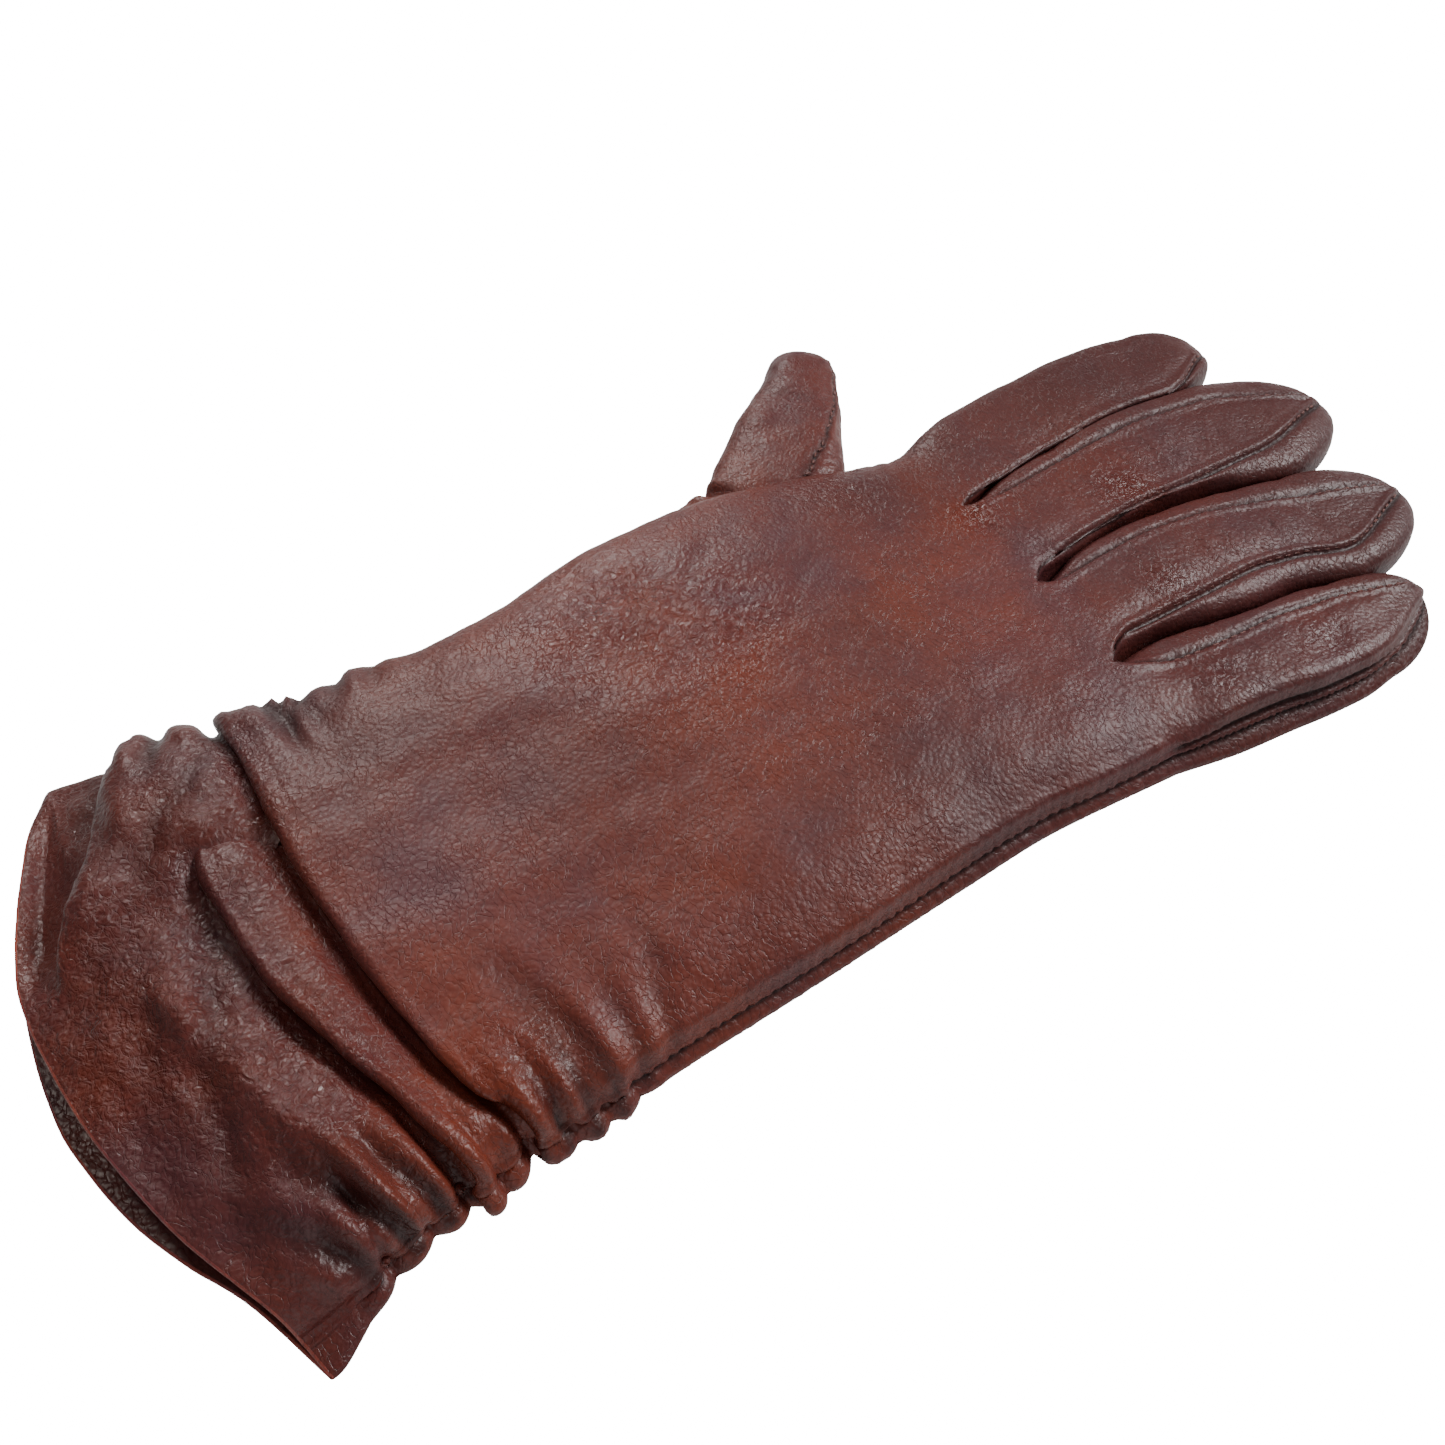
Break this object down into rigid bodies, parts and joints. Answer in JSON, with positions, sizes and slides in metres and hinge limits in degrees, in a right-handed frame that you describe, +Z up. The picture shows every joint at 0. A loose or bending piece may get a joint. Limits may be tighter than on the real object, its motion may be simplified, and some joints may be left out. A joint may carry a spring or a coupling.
{
  "type": "leather dress glove",
  "caption": "Right-hand leather dress glove, palm down, with gussets between the fingers, a set-in thumb and a gathered, pleated wrist.",
  "frame": {"origin": "middle of the palm, on the flat underside that the glove lies on", "axes": "+X from the cuff to the fingertips, +Y to the thumb side, +Z up through the back of the hand"},
  "size_m": [0.2735, 0.1417, 0.0173],
  "materials": {
    "leather": "semi-gloss dark red-brown nappa with fine grain",
    "lining": "matt brown knit",
    "elastic": "matt woven elastic",
    "thread": "dark brown sewing thread"
  },
  "bodies": {
    "hand": {"hand_back_lining": "lining", "hand_back_panel": "leather", "hand_palm_lining": "lining", "hand_palm_panel": "leather", "side_seam_thread": "thread", "wrist_elastic_little_side": "elastic", "wrist_elastic_thumb_side": "elastic"},
    "pleat": {"pleat_back_band": "leather", "pleat_palm_band": "leather"},
    "cuff": {"cuff_back_facing": "leather", "cuff_back_panel": "leather", "cuff_palm_facing": "leather", "cuff_palm_panel": "leather"},
    "index_base": {"index_back_lower": "leather", "index_lining_lower": "lining", "index_near_gusset_lower": "leather", "index_palm_lower": "leather"},
    "index_tip": {"index_back_upper": "leather", "index_lining_upper": "lining", "index_near_gusset_upper": "leather", "index_palm_upper": "leather"},
    "middle_base": {"middle_back_lower": "leather", "middle_far_gusset_lower": "leather", "middle_lining_lower": "lining", "middle_near_gusset_lower": "leather", "middle_palm_lower": "leather"},
    "middle_tip": {"middle_back_upper": "leather", "middle_far_gusset_upper": "leather", "middle_lining_upper": "lining", "middle_near_gusset_upper": "leather", "middle_palm_upper": "leather"},
    "ring_base": {"ring_back_lower": "leather", "ring_far_gusset_lower": "leather", "ring_lining_lower": "lining", "ring_near_gusset_lower": "leather", "ring_palm_lower": "leather"},
    "ring_tip": {"ring_back_upper": "leather", "ring_far_gusset_upper": "leather", "ring_lining_upper": "lining", "ring_near_gusset_upper": "leather", "ring_palm_upper": "leather"},
    "little_base": {"little_back_lower": "leather", "little_far_gusset_lower": "leather", "little_lining_lower": "lining", "little_palm_lower": "leather"},
    "little_tip": {"little_back_upper": "leather", "little_far_gusset_upper": "leather", "little_lining_upper": "lining", "little_palm_upper": "leather"},
    "thumb_base": {"thumb_back_lower": "leather", "thumb_lining_lower": "lining", "thumb_palm_lower": "leather"},
    "thumb_tip": {"thumb_back_upper": "leather", "thumb_lining_upper": "lining", "thumb_palm_upper": "leather"}
  },
  "joints": [
    {"name": "cuff_stretch", "type": "slide", "parent": "hand", "child": "cuff", "axis": [-1, 0, 0], "range_m": [0, 0.016], "stiffness_N_per_m": 60},
    {"name": "pleat_stretch", "type": "slide", "parent": "hand", "child": "pleat", "axis": [-1, 0, 0], "range_m": [0, 0.008]},
    {"name": "index_base_fold", "type": "hinge", "parent": "hand", "child": "index_base", "pos_m": [0.047, 0.0385, 0], "axis": [-0.0349, 0.9994, 0], "range_deg": [-15, 80]},
    {"name": "index_middle_fold", "type": "hinge", "parent": "index_base", "child": "index_tip", "pos_m": [0.08226, 0.04371, 0], "axis": [-0.0349, 0.9994, 0], "range_deg": [0, 85]},
    {"name": "middle_base_fold", "type": "hinge", "parent": "hand", "child": "middle_base", "pos_m": [0.047, 0.0179, 0], "axis": [-0.0087, 1, 0], "range_deg": [-15, 80]},
    {"name": "middle_middle_fold", "type": "hinge", "parent": "middle_base", "child": "middle_tip", "pos_m": [0.08653, 0.02182, 0], "axis": [-0.0087, 1, 0], "range_deg": [0, 85]},
    {"name": "ring_base_fold", "type": "hinge", "parent": "hand", "child": "ring_base", "pos_m": [0.047, -0.0055, 0], "axis": [0.0489, 0.9988, 0], "range_deg": [-15, 80]},
    {"name": "ring_middle_fold", "type": "hinge", "parent": "ring_base", "child": "ring_tip", "pos_m": [0.08524, -0.00518, 0], "axis": [0.0489, 0.9988, 0], "range_deg": [0, 85]},
    {"name": "little_base_fold", "type": "hinge", "parent": "hand", "child": "little_base", "pos_m": [0.047, -0.02835, 0], "axis": [0.0454, 0.999, 0], "range_deg": [-15, 80]},
    {"name": "little_middle_fold", "type": "hinge", "parent": "little_base", "child": "little_tip", "pos_m": [0.07776, -0.03034, 0], "axis": [0.0454, 0.999, 0], "range_deg": [0, 85]},
    {"name": "thumb_base_fold", "type": "hinge", "parent": "hand", "child": "thumb_base", "pos_m": [0.017, 0.05403, 0], "axis": [-0.9791, 0.2036, 0], "range_deg": [0, 70]},
    {"name": "thumb_middle_fold", "type": "hinge", "parent": "thumb_base", "child": "thumb_tip", "pos_m": [0.03186, 0.06909, 0], "axis": [-0.712, 0.7022, 0], "range_deg": [0, 75]}
  ],
  "couplings": [
    {"joint": "pleat_stretch", "follows": "cuff_stretch", "ratio": 0.5}
  ]
}
